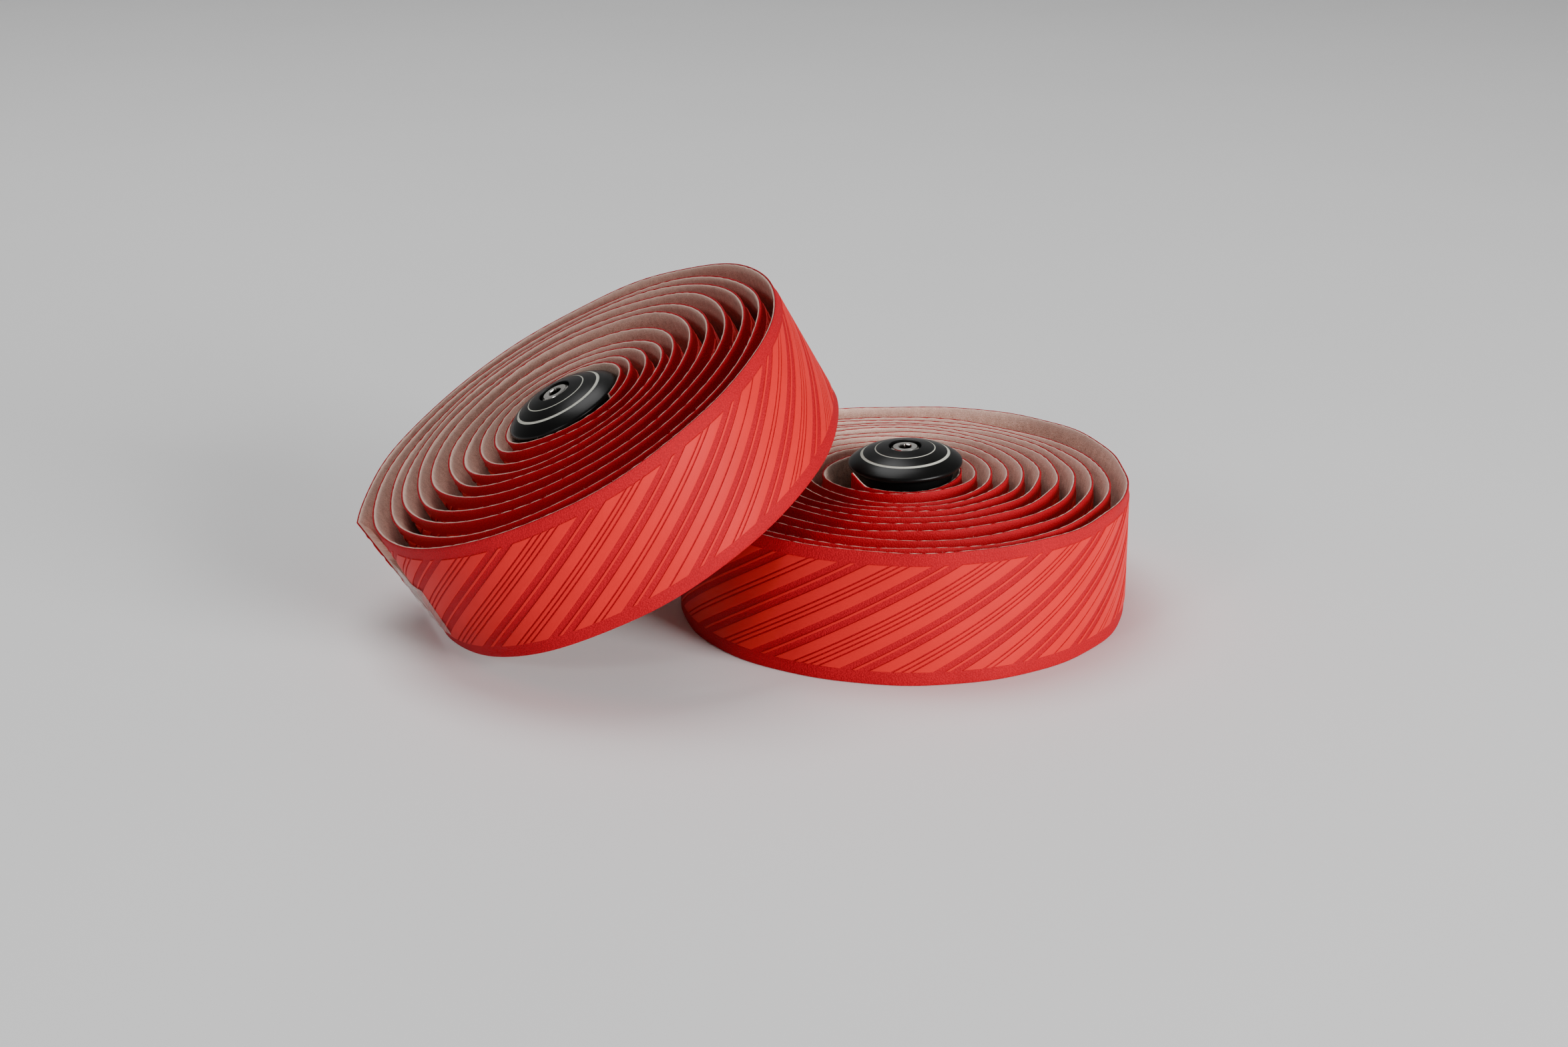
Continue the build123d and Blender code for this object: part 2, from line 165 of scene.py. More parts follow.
def ripple(s, wave, seed):
    """A smooth uneven wave along the tape, from -1 to 1: the mean of five sines whose lengths
    lie round a given one."""
    rng = np.random.default_rng(seed)
    rates = 2 * np.pi / (wave * rng.uniform(0.6, 1.7, 5))
    shifts = rng.uniform(0, 2 * np.pi, 5)
    return sum(np.sin(s * rate + shift) for rate, shift in zip(rates, shifts)) / 2.6


def on_tape(coil, s, inside, height):
    """Place of a point of the tape, in the set's frame and in metres: s along it, inside its
    face and height above its lower edge. The soft edges waver, more so near the cut, and the
    upper corner of a ragged inner end is drawn up to a tip."""
    s, inside, height = np.broadcast_arrays(*(np.asarray(v, float) for v in (s, inside, height)))
    point, way = along_coil(coil, s)
    edge = np.abs(2 * height / TAPE_WIDTH - 1) ** 5
    upper = height > TAPE_WIDTH / 2
    sway = np.where(upper, ripple(s, 31, coil["seed"]), ripple(s, 31, coil["seed"] + 1))
    lift = np.where(upper, ripple(s, 55, coil["seed"] + 2), 0.0)
    fade = np.clip((coil["length"] - s) / STEADY_END, 0, 1)
    inside = inside + EDGE_SWAY * edge * sway * fade
    corner = np.clip(1 - (s - coil["inner_end"]) / TIP_LENGTH, 0, 1)
    height = height + EDGE_LIFT * edge * lift + coil["tip"] * corner * (height / TAPE_WIDTH) ** 6
    local = np.concatenate([point + left_of(way) * inside[..., None], height[..., None]], -1)
    return (local @ coil["frame"] + coil["origin"]) * 0.001


def end_at(coil, height):
    """Length of the tape at a height: the outer end may be cut on a slant."""
    return coil["length"] - coil["slant"] * (1 - np.asarray(height) / TAPE_WIDTH)


def place_coil(coil, node):
    """Works out the coil's arcs, and puts it where its solid lies: the lowest corner of the
    plain face's box is moved to the lowest corner of the solid's box."""
    coil["arcs"] = coil_arcs(coil)
    coil["length"] = float(coil["arcs"][3].sum())
    coil["frame"] = axis_frame(coil["axis"])
    lowest = []
    for height in (0.1, TAPE_WIDTH - 0.1):
        s = np.linspace(0, end_at(coil, height), 20000)
        point, way = along_coil(coil, s)
        for inside in (0.0, FACE_THICKNESS):
            local = np.c_[point + left_of(way) * inside, np.full(len(s), height)]
            lowest.append((local @ coil["frame"]).min(0))
    coil["origin"] = np.array(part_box(node)[0]) * 1000 - np.min(lowest, 0)


place_coil(FLAT, "flat_tape_face")
place_coil(LEANING, "leaning_tape_face")

BORDER = 3.4              # plain grained border along each edge
GROUND = 0.2              # depth of the ground below the strips' tops, which lie on the solid face
LEAN = 3**0.5             # the strips run on this far for each millimetre up
WIDE, GAP, NARROW = 4.9, 3.1, 1.1
GROOVE, GROOVE_PITCH = 0.7, 2.15
GROOVES = [1, 2, 3, 4, 3, 2]
WALL = 0.07               # half the width of a pressed wall
BULGE = 1.06              # a strip stands this much higher just inside its edge
BEFORE, BEYOND = 80, 30   # the pattern is laid out this far past the tape's inner and outer ends


def raised_strips(coil):
    """Starts and ends of the raised strips, counted along the lower end of the pattern. Between
    two groups of grooves lie a wide strip, a narrow one and a wide one; a group has from one to
    four grooves, up and down in turn. One single groove is at a known angle of the outer turn."""
    ends = np.cumsum(coil["arcs"][3])
    last = np.degrees(coil["arcs"][4][-1])
    mark = last - (last - coil["single_groove"]) % 360
    s = np.linspace(coil["length"] - 430, coil["length"], 40000)
    point, _ = along_coil(coil, s)
    bearing = np.degrees(np.unwrap(np.arctan2(point[:, 1], point[:, 0])))
    bearing += 360 * np.round((last - bearing[-1]) / 360)
    anchor = np.interp(mark, bearing, s) - LEAN * BORDER
    strips = []
    for way in (1, -1):
        centre, k = anchor, 0
        while -BEFORE < centre < ends[-1] + BEYOND:
            n, m = GROOVES[k % 6], GROOVES[(k + 1) % 6]
            groups = (GROOVE + (n - 1) * GROOVE_PITCH) / 2, (GROOVE + (m - 1) * GROOVE_PITCH) / 2
            if way == 1 or k:
                first = centre - groups[0]
                strips += [(first + i * GROOVE_PITCH + GROOVE, first + (i + 1) * GROOVE_PITCH)
                           for i in range(n - 1)]
            edge = centre + way * groups[0]
            for skip, width in ((0, WIDE), (GAP, NARROW), (GAP, WIDE)):
                edge += way * skip
                strips.append(tuple(sorted((edge, edge + way * width))))
                edge += way * width
            centre, k = edge + way * groups[1], k + 1
    return np.array(sorted(strips))


def face_columns(strips, low, high, shoulder, widest):
    """Where the mesh has a line along the strips, and how far that line is raised: two or four
    lines at each wall, and more in between so that none is wider than a given step."""
    near = strips[(strips[:, 1] > low - 3) & (strips[:, 0] < high + 3)]
    steps = [(-WALL, 0.0), (WALL, 1.0)]
    if shoulder:
        steps += [(WALL + shoulder, BULGE), (-WALL - shoulder, 0.0)]
    lines = [(edge + sign * step, level) for step, level in steps for edge, sign in
             [(e, 1) for e in near[:, 0]] + [(e, -1) for e in near[:, 1]]]
    lines = np.array(sorted(lines))
    step = np.diff(lines[:, 0])
    parts = np.ceil(step / widest).astype(int)
    more = [start + size * np.arange(1, n) / n
            for start, size, n in zip(lines[:-1, 0], step, parts) if n > 1]
    u = np.sort(np.concatenate([lines[:, 0]] + more))
    return np.stack([u, np.interp(u, lines[:, 0], lines[:, 1])], -1)


def new_piece(name, points, faces, material, uv=None, marks=None, sharp=None):
    """A mesh piece from an array of points and a list of arrays of corner numbers. Its faces
    are turned outwards: the volume that they enclose comes out above nought."""
    polygons = [f for block in faces for f in np.atleast_2d(block)]
    used = np.unique(np.concatenate([f.ravel() for f in faces]))
    fresh = np.zeros(len(points), int)
    fresh[used] = np.arange(len(used))
    points = points[used]
    corners = np.concatenate([np.stack([f[:, 0], f[:, i], f[:, i + 1]], 1)
                              for f in map(np.atleast_2d, faces) for i in range(1, f.shape[1] - 1)])
    a, b, c = (points[fresh[corners[:, i]]] - points.mean(0) for i in range(3))
    if (np.cross(a, b) * c).sum() < 0:
        polygons = [f[::-1] for f in polygons]
    mesh = bpy.data.meshes.new(name)
    mesh.from_pydata(points.tolist(), [], [fresh[f].tolist() for f in polygons])
    loops = np.empty(len(mesh.loops), int)
    mesh.loops.foreach_get("vertex_index", loops)
    if uv is not None:
        layer = mesh.uv_layers.new(name="UVMap")
        layer.data.foreach_set("uv", uv[used][loops].astype(np.float32).ravel())
    for mark, values in (marks or {}).items():
        layer = mesh.attributes.new(mark, "FLOAT", "POINT")
        layer.data.foreach_set("value", values[used].astype(np.float32))
    mesh.polygons.foreach_set("use_smooth", np.ones(len(mesh.polygons), bool))
    if sharp:
        mesh.set_sharp_from_angle(angle=np.radians(sharp))
    mesh.materials.append(material)
    piece = bpy.data.objects.new(name, mesh)
    bpy.context.scene.collection.objects.link(piece)
    return piece


def tape_face(name, coil, low, high, shoulder, widest, middle_rows, material):
    """Part of a tape's face, as a closed shell. A grid follows the strips: along u, counted at
    the pattern's lower end, and height z, a point lies at s = u + LEAN z. Its depth is the
    ground's, less the strip's height between the borders. The grid is cut off at both ends."""
    columns = face_columns(raised_strips(coil), low - LEAN * TAPE_WIDTH - 4, high + 4, shoulder, widest)
    top = TAPE_WIDTH - BORDER + 0.2
    border = [(0.02, 0.22), (0.07, 0.10), (0.22, 0.02), (1.2, 0.0), (2.3, 0.0)]
    rows = [(z, GROUND + d, 0.0) for z, d in border] + [(BORDER - WALL, GROUND, 0.0)]
    rows += [(z, GROUND, 1.0) for z in np.linspace(BORDER + WALL, top - WALL, middle_rows)]
    rows += [(top + WALL, GROUND, 0.0)] + [(TAPE_WIDTH - z, GROUND + d, 0.0) for z, d in border[::-1]]
    rows += [(z, FACE_THICKNESS - 0.01 + 0.2 * abs(2 * z / TAPE_WIDTH - 1), 0.0)
             for z in np.linspace(TAPE_WIDTH - 0.06, 0.06, 15)]
    z, depth, pattern = np.array(rows).T[:, :, None]
    floor_s = np.full_like(z, low)
    roof_s = np.minimum(end_at(coil, z), high)
    s = np.clip(columns[None, :, 0] + LEAN * z, floor_s, roof_s)
    raised = columns[None, :, 1] * pattern
    points = on_tape(coil, s, depth - GROUND * raised, z)
    n, m = s.shape
    first = (s <= floor_s).sum(1) - 1
    final = m - (s >= roof_s).sum(1)
    index = np.arange(n)[:, None] * m + np.clip(np.arange(m)[None], first[:, None], final[:, None])
    below, above = index, np.roll(index, -1, 0)
    quads = np.stack([below[:, :-1], below[:, 1:], above[:, 1:], above[:, :-1]], -1).reshape(-1, 4)
    flat_low, flat_high = quads[:, 0] == quads[:, 1], quads[:, 2] == quads[:, 3]
    faces = [quads[~flat_low & ~flat_high], quads[flat_low & ~flat_high][:, 1:],
             quads[~flat_low & flat_high][:, :3]]
    faces += [index[:, 0][None], index[::-1, -1][None]]
    uv = np.stack([s, np.broadcast_to(z, s.shape)], -1).reshape(-1, 2) / 10
    return new_piece(name, points.reshape(-1, 3), faces, material, uv, {"raised": raised.ravel()}, 38)


def ring_faces(index):
    """Faces between each row of a grid and the next, where every row closes on itself."""
    turned = np.roll(index, -1, 1)
    return np.stack([index[:-1], turned[:-1], turned[1:], index[1:]], -1).reshape(-1, 4)


def blank(name, **values):
    """A new material with its shader's plain numbers and colours set."""
    material = bpy.data.materials.new(name)
    material.use_nodes = True
    tree = material.node_tree
    shader = tree.nodes["Principled BSDF"]
    for key, value in values.items():
        shader.inputs[key.replace("_", " ")].default_value = value
    return material, tree, shader


def node(tree, kind, links=None, **values):
    """A node of a kind, with its settings made and its inputs linked or set."""
    made = tree.nodes.new(kind)
    for key, value in values.items():
        setattr(made, key, value)
    for key, value in (links or {}).items():
        if isinstance(value, bpy.types.NodeSocket):
            tree.links.new(value, made.inputs[key])
        else:
            made.inputs[key].default_value = value
    return made


def ramp(tree, source, stops):
    """Colours along a value: a list of (position, colour)."""
    made = node(tree, "ShaderNodeValToRGB", {"Fac": source})
    elements = made.color_ramp.elements
    for element, (position, colour) in zip(elements, (stops[0], stops[-1])):
        element.position, element.color = position, colour + (1,)
    for position, colour in stops[1:-1]:
        elements.new(position).color = colour + (1,)
    return made.outputs["Color"]


def blend(tree, amount, a, b, mode="MIX"):
    """Two colours mixed, multiplied or otherwise combined by an amount."""
    made = node(tree, "ShaderNodeMix", data_type="RGBA", blend_type=mode)
    for socket, value in ((made.inputs[0], amount), (made.inputs[6], a), (made.inputs[7], b)):
        if isinstance(value, bpy.types.NodeSocket):
            tree.links.new(value, socket)
        else:
            socket.default_value = value if not isinstance(value, tuple) else value + (1,)
    return made.outputs[2]


def sums(tree, operation, a, b, c=0.0):
    """One step of arithmetic on values."""
    return node(tree, "ShaderNodeMath", {0: a, 1: b, 2: c}, operation=operation).outputs[0]


def noise(tree, where, scale, detail, **more):
    """Cloudy noise of a scale and a depth of detail."""
    settings = {"Vector": where, "Scale": scale, "Detail": detail, **more}
    return node(tree, "ShaderNodeTexNoise", settings).outputs["Fac"]


def between(tree, value, low, high):
    """A value from 0 to 1 stretched to run from low to high."""
    return node(tree, "ShaderNodeMapRange", {"Value": value, "To Min": low, "To Max": high}).outputs["Result"]


def mark(tree, name):
    """A mesh's own attribute: nought on a mesh that has none."""
    return node(tree, "ShaderNodeAttribute", attribute_name=name).outputs["Fac"]


def own_uv(tree):
    return node(tree, "ShaderNodeUVMap", uv_map="UVMap").outputs["UV"]


def in_object(tree):
    return node(tree, "ShaderNodeTexCoord").outputs["Object"]


def bumped(tree, shader, height, strength, distance):
    """Small relief on a surface from a height."""
    bump = node(tree, "ShaderNodeBump", {"Height": height, "Strength": strength, "Distance": distance})
    tree.links.new(bump.outputs["Normal"], shader.inputs["Normal"])


def red_leather():
    """Red imitation leather. Soft pebbles are smoothed Voronoi cells about a third of a millimetre
    across, deep on the ground and pressed nearly flat on the strips. The ground is a deeper red,
    with painted shade that darkens it from the pebbles' tops down into the crevices between them."""
    material, tree, shader = blank("red_imitation_leather", Specular_IOR_Level=0.16)
    uv, raised = own_uv(tree), mark(tree, "raised")
    bend = node(tree, "ShaderNodeTexNoise", {"Vector": uv, "Scale": 9.0, "Detail": 2.0}).outputs["Color"]
    cells = {"Vector": blend(tree, 0.035, uv, bend), "Scale": 27.0, "Smoothness": 0.6, "Randomness": 0.95}
    pebbles = node(tree, "ShaderNodeTexVoronoi", cells, feature="SMOOTH_F1").outputs["Distance"]
    pebble = node(tree, "ShaderNodeMapRange", {"Value": pebbles, "From Min": 0.75, "From Max": 0.1},
                  interpolation_type="SMOOTHSTEP").outputs["Result"]
    fine = noise(tree, uv, 110.0, 3.0, Roughness=0.6)
    cloud = noise(tree, uv, 0.9, 4.0)
    smooth = between(tree, raised, 1.0, 0.12)
    height = sums(tree, "MULTIPLY_ADD", pebble, smooth, sums(tree, "MULTIPLY", fine, 0.22))
    bumped(tree, shader, height, 1.0, 0.00006)
    # Painted shade: the ground's red darkens from each pebble's top down into the crevices between pebbles.
    ground = ramp(tree, pebble, [(0.0, (0.38, 0.0, 0.007)), (1.0, (0.50, 0.0005, 0.011))])
    strip = ramp(tree, fine, [(0.3, (0.63, 0.009, 0.011)), (0.7, (0.69, 0.013, 0.015))])
    colour = blend(tree, raised, ground, strip)
    shade = ramp(tree, cloud, [(0.3, (0.92, 0.92, 0.92)), (0.7, (1.0, 1.0, 1.0))])
    tree.links.new(blend(tree, 1.0, colour, shade, "MULTIPLY"), shader.inputs["Base Color"])
    rough = sums(tree, "MULTIPLY_ADD", fine, 0.08, between(tree, raised, 0.62, 0.48))
    tree.links.new(rough, shader.inputs["Roughness"])
    return material


leather = red_leather()
OUTER_LENGTH = 440.0      # the outer turn and a little more has the finer mesh
for roll, coil in (("flat", FLAT), ("leaning", LEANING)):
    seam = coil["length"] - OUTER_LENGTH
    inner = tape_face(f"{roll}_face_inner_turns", coil, coil["inner_end"], seam, 0.0, 3.0, 12, leather)
    outer = tape_face(f"{roll}_face_outer_turn", coil, seam, 1e6, 0.12, 1.2, 26, leather)
    for piece in (inner, outer):
        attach(piece, f"{roll}_roll")
        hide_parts(f"{roll}_tape_face")


# ==== Foam backings =====================================================================
# The padding is a soft closed-cell foam with a brushed, felt-like inner side, laminated to the
# back of the face. It thins out to the edges, where it was slit, and the cut shows as a pale
# line with loose fibres standing out of it.
FOAM_SIDE = [(1.00, 0.22), (1.18, 0.80), (1.46, 1.9), (1.80, 3.3), (2.06, 4.5), (2.18, 5.8), (2.2, 8.5)]


def foam_backing(name, coil, material):
    """The backing as a closed shell. Its outline of (depth inside the face, height), bottom and
    top alike, is carried along the coil, and its inner side is uneven by two crossed ripples."""
    foot = [(0.62, 0.24), (0.68, 0.14), (0.80, 0.11), (0.92, 0.13)] + FOAM_SIDE
    middle = [(2.2, z) for z in np.linspace(11.5, TAPE_WIDTH - 11.5, 4)]
    top = [(d, TAPE_WIDTH - z) for d, z in foot[::-1]]
    outline = np.array(foot + middle + top + [(0.42, TAPE_WIDTH / 2)])
    depth, z = outline.T[:, :, None]
    start = coil["inner_end"]
    s = start + np.linspace(0, 1, int(coil["length"] / 1.2))[None] * (end_at(coil, z) - start)
    soft = np.clip((depth - 0.6) / 0.5, 0, 1)
    depth = depth + soft * 0.05 * ripple(s + 2.3 * z, 7, coil["seed"] + 5)
    frayed = np.clip(np.abs(z - TAPE_WIDTH / 2) - TAPE_WIDTH / 2 + 1, 0, 1)
    z = z + np.sign(z - TAPE_WIDTH / 2) * frayed * 0.07 * ripple(s, 2.9, coil["seed"] + 6)
    z = np.maximum(z, 0.0)
    points = on_tape(coil, s, depth, z)
    n, m = s.shape
    index = np.arange(n * m).reshape(n, m)
    above = np.roll(index, -1, 0)
    quads = np.stack([index[:, :-1], index[:, 1:], above[:, 1:], above[:, :-1]], -1).reshape(-1, 4)
    uv = np.stack([s, z + depth], -1).reshape(-1, 2) / 10
    edge = np.clip(1.6 - depth, 0, 1) * np.ones_like(s)
    return new_piece(name, points.reshape(-1, 3), [quads, index[:, 0][None], index[::-1, -1][None]],
                     material, uv, {"edge": edge.ravel()}, 60)


def felted_foam():
    """Pale pinkish foam. Short fibres are noise stretched along the tape, over rounder clumps."""
    material, tree, shader = blank("felted_foam", Specular_IOR_Level=0.12, Roughness=0.95, Sheen_Weight=0.12)
    uv, edge = own_uv(tree), mark(tree, "edge")
    drawn = node(tree, "ShaderNodeMapping",
                 {"Vector": uv, "Scale": (0.45, 1.0, 1.0), "Rotation": (0, 0, 0.3)}).outputs[0]
    fibres = noise(tree, drawn, 55.0, 5.0, Roughness=0.7, Distortion=0.6)
    clumps = noise(tree, uv, 6.0, 3.0)
    felt = [(0.34, (0.52, 0.25, 0.17)), (0.5, (0.84, 0.50, 0.38)), (0.66, (0.96, 0.74, 0.62))]
    tint = ramp(tree, clumps, [(0.3, (0.76, 0.70, 0.68)), (0.7, (1.0, 1.0, 1.0))])
    colour = blend(tree, 1.0, ramp(tree, fibres, felt), tint, "MULTIPLY")
    tree.links.new(blend(tree, edge, colour, (0.86, 0.62, 0.52)), shader.inputs["Base Color"])
    bumped(tree, shader, sums(tree, "MULTIPLY_ADD", clumps, 0.6, fibres), 0.9, 0.00022)
    return material


foam = felted_foam()


def loose_fibres(name, coil, count, material):
    """Loose fibres on the upper cut edge: three-sided spikes that lean off at random. A spike's
    rings lie at steps of its length, thinner each time, and drift with the square of the step."""
    rng = np.random.default_rng(coil["seed"] + 20)
    s = rng.uniform(coil["inner_end"] + 1, coil["length"] - 1, count)
    length = rng.uniform(0.15, 0.42, count) * rng.choice([1.0, 1.5], count, p=[0.85, 0.15])
    depth = rng.uniform(0.45, 0.95, count)
    aside, along = rng.normal(0, 0.55, (2, count))
    step = np.array([0.0, 0.45, 0.8, 1.0])[None, :, None]
    round_it = (np.arange(3) * 2 * np.pi / 3)[None, None, :]
    thick = 0.018 * (1.02 - step)
    size = length[:, None, None]
    ss = s[:, None, None] + size * along[:, None, None] * step**1.7 + thick * np.cos(round_it)
    dd = depth[:, None, None] + size * aside[:, None, None] * step**1.7 + thick * np.sin(round_it)
    zz = TAPE_WIDTH - 0.08 + size * 0.75 * step + 0 * ss
    points = on_tape(coil, ss, dd, zz)
    index = np.arange(ss.size).reshape(count, 4, 3)
    turned = np.roll(index, -1, 2)
    quads = np.stack([index[:, :-1], turned[:, :-1], turned[:, 1:], index[:, 1:]], -1).reshape(-1, 4)
    caps = [index[:, 0, ::-1], index[:, -1]]
    uv = np.stack([ss, zz], -1).reshape(-1, 2) / 10
    return new_piece(name, points.reshape(-1, 3), [quads] + caps, material, uv, {"edge": np.ones(ss.size)})


for roll, coil in (("flat", FLAT), ("leaning", LEANING)):
    backing = foam_backing(f"{roll}_foam_backing", coil, foam)
    fibres = loose_fibres(f"{roll}_edge_fibres", coil, 1500, foam)
    for piece in (backing, fibres):
        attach(piece, f"{roll}_roll")
    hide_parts(f"{roll}_tape_foam")


# ==== Closing films =====================================================================
# A strip of clear self-adhesive film holds the outer end of each tape: one part is stuck to
# the end, one spans the step in the air and one is stuck to the turn below. It is thin, glossy
# and a little puckered where nothing backs it.
FILM_WIDTH, FILM_BOTTOM, FILM_ON_END, FILM_ON_TURN = 14.0, 5.0, 14.0, 9.0


def closing_film(name, coil, material):
    """The film as a closed shell of even thickness. Its line follows the face, shifted out by a
    gap, up to the tip, then runs straight to where it touches the turn below, and follows that.
    The touching point is where the line to the tip is square to the turn's inward direction."""
    def outside(s):
        point, way = along_coil(coil, s)
        return point - left_of(way) * 0.09, way

    length = float(end_at(coil, FILM_BOTTOM))
    tip, _ = outside(np.array(length))
    s = np.linspace(length - 375, length - 200, 8000)
    point, way = outside(s)
    side = cross2(way, point - tip)
    touch = s[np.flatnonzero(np.diff(np.sign(side)))[0]]
    on_end, _ = outside(np.linspace(length - FILM_ON_END, length, 36))
    on_turn, _ = outside(touch + np.linspace(0, FILM_ON_TURN, 24))
    span = tip + (on_turn[0] - tip) * np.linspace(0, 1, 50)[1:-1, None]
    line = np.concatenate([on_end, span, on_turn])
    step = np.r_[0, np.cumsum(np.linalg.norm(np.diff(line, axis=0), axis=-1))]
    free = np.clip(np.minimum(step - FILM_ON_END, step[-1] - FILM_ON_TURN - step) / 4, 0, 1)[:, None]
    normal = -left_of(unit(np.gradient(line, axis=0)))
    across = np.linspace(0, 1, 40)[None]
    skew = end_at(coil, FILM_BOTTOM + FILM_WIDTH * across) - length
    z = FILM_BOTTOM + FILM_WIDTH * across + 0 * free
    pucker = 0.16 * ripple(step[:, None] * 0.8 + 14 * across, 8, 31)
    pucker = pucker + 0.10 * ripple(z * 1.4 - step[:, None] * 0.5, 5, 32)
    lift = free * (pucker + 0.25 * np.sin(np.pi * across)) + 0.12 * (2 * across - 1) ** 8 * (1 - 0.5 * free)
    held = np.clip(1 - np.abs(step - FILM_ON_END) / 12, 0, 1)[:, None]
    ahead = unit(np.gradient(line, axis=0))[:, None] * (skew * held)[..., None]
    sheets = []
    for out in (0.06, 0.0):
        flat = line[:, None] + normal[:, None] * (lift + out)[..., None] + ahead
        sheets.append(np.concatenate([flat, z[..., None]], -1))
    points = np.concatenate([sheets[0], sheets[1][:, ::-1]], 1) @ coil["frame"] + coil["origin"]
    n, m = points.shape[:2]
    index = np.arange(n * m).reshape(n, m)
    outer, inner = index[:, :m // 2], index[:, :m // 2 - 1:-1]
    caps = np.stack([outer[:, :-1], outer[:, 1:], inner[:, 1:], inner[:, :-1]], -1)
    uv = np.stack(np.broadcast_arrays(step[:, None], np.concatenate([z, z[:, ::-1]], 1)), -1)
    faces = [ring_faces(index), caps[0], caps[-1][:, ::-1]]
    return new_piece(name, points.reshape(-1, 3) * 0.001, faces, material, uv.reshape(-1, 2) / 10)


def clear_film():
    """Clear film: most light passes, with a glossy skin, a milky haze and slight creases."""
    material, tree, shader = blank("clear_film", Roughness=0.08, Specular_IOR_Level=0.7, Alpha=0.30,
                                   Coat_Weight=0.6, Coat_Roughness=0.05)
    uv = own_uv(tree)
    haze = ramp(tree, noise(tree, uv, 5.0, 3.0), [(0.35, (0.66, 0.50, 0.44)), (0.65, (0.90, 0.84, 0.76))])
    tree.links.new(haze, shader.inputs["Base Color"])
    bumped(tree, shader, noise(tree, uv, 12.0, 1.0), 0.25, 0.0002)
    return material


film = clear_film()
for roll, coil in (("flat", FLAT), ("leaning", LEANING)):
    strip = closing_film(f"{roll}_clear_film", coil, film)
    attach(strip, f"{roll}_roll")
    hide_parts(f"{roll}_closing_film")


# ==== Plug caps =========================================================================
# Each cap is turned from one aluminium bar: a low dome, a rounded rim, a collar with one groove
# and a stepped bore for the screw. It is anodised black, then two lines are cut round the dome
# through the black and show pale.
CROWN, LINE_RADIUS, LINE_HEIGHT = 5.75, 11.3, 3.4
INNER_LINE_RADIUS = 7.65
RISE = CROWN - LINE_HEIGHT
DOME = (LINE_RADIUS**2 + RISE**2) / (2 * RISE)
WELL, WELL_FLOOR, BORE = 4.1, 0.7, 2.15


def dome_height(r):
    """Height of the dome, part of a sphere, at a distance from the axis."""
    return CROWN - DOME + np.sqrt(DOME**2 - np.asarray(r) ** 2)


def bow(start, end, bulge, count):
    """Points of an arc between two points, bulged to the left by a share of the chord."""
    start, end = np.array(start, float), np.array(end, float)
    t = np.linspace(0, 1, count)[:, None]
    return start + (end - start) * t + left_of(end - start) * 4 * bulge * t * (1 - t)


def engraved(radius, width, depth):
    """Outline across a line cut into the dome, from its outer side inwards."""
    r = np.array([radius, radius - 0.03, radius - width + 0.03, radius - width])
    return np.c_[r, dome_height(r) - np.array([0, depth, depth, 0])]


def round_axis(place, r, angle, z):
    """Points in the set's frame, in metres, at a radius, an angle and a height about a plug's axis."""
    local = np.stack(np.broadcast_arrays(r * np.cos(angle), r * np.sin(angle), z), -1)
    return ((local @ place["frame"]) * 0.001 + place["origin"]).reshape(-1, 3)


def turned(name, outline, place, material, count, marks=None):
    """A turned piece: a closed outline of (radius, height) carried round the plug's axis."""
    outline = np.asarray(outline, float)
    angle = np.linspace(0, 2 * np.pi, count, endpoint=False)[None]
    points = round_axis(place, outline[:, :1], angle, outline[:, 1:2])
    index = np.arange(len(points)).reshape(-1, count)
    run = np.r_[0, np.cumsum(np.linalg.norm(np.diff(outline, axis=0), axis=-1))]
    uv = np.stack(np.broadcast_arrays(angle / (2 * np.pi), run[:, None] / 10), -1).reshape(-1, 2)
    marks = {k: np.repeat(np.asarray(v, float), count) for k, v in (marks or {}).items()}
    return new_piece(name, points, [ring_faces(np.r_[index, index[:1]])], material, uv, marks, 35)


def cap_outline():
    """Outline of the cap, counter-clockwise, and which of its points lie in a cut line."""
    dome = [np.c_[r, dome_height(r)]
            for r in (np.linspace(10.4, 7.75, 12), np.linspace(7.3, WELL + 0.28, 14))]
    lines = [engraved(LINE_RADIUS, 0.70, 0.10), engraved(INNER_LINE_RADIUS, 0.30, 0.06)]
    parts = [
        [(BORE, -4.2), (BORE + 0.2, -4.4), (11.6, -4.4), (11.85, -4.3), (11.9, -4.1)],
        [(11.9, -3.22), (11.82, -3.18), (11.4, -3.12), (11.4, -2.58), (11.82, -2.52), (11.9, -2.48)],
        [(11.9, -0.25), (11.98, -0.08), (12.15, 0.0), (13.15, 0.0), (13.4, 0.06)],
        bow((13.6, 0.18), (14.08, 0.58), -0.03, 4),
        bow((14.14, 0.64), (14.14, 1.66), -0.22, 14),
        bow((14.06, 1.74), (LINE_RADIUS + 0.05, LINE_HEIGHT - 0.02), -0.035, 16),
        lines[0], dome[0], lines[1], dome[1],
    ]
    lip = dome_height(WELL + 0.2)
    parts += [
        [(WELL + 0.2, lip), (WELL + 0.08, lip - 0.03), (WELL, lip - 0.12), (WELL, WELL_FLOOR + 0.1)],
        [(WELL - 0.1, WELL_FLOOR), (BORE + 0.1, WELL_FLOOR), (BORE, WELL_FLOOR - 0.1)],
    ]
    in_line = np.array([0, 1, 1, 0])
    cut = [in_line if any(part is line for line in lines) else np.zeros(len(part)) for part in parts]
    return np.concatenate([np.asarray(p, float) for p in parts]), np.concatenate(cut)


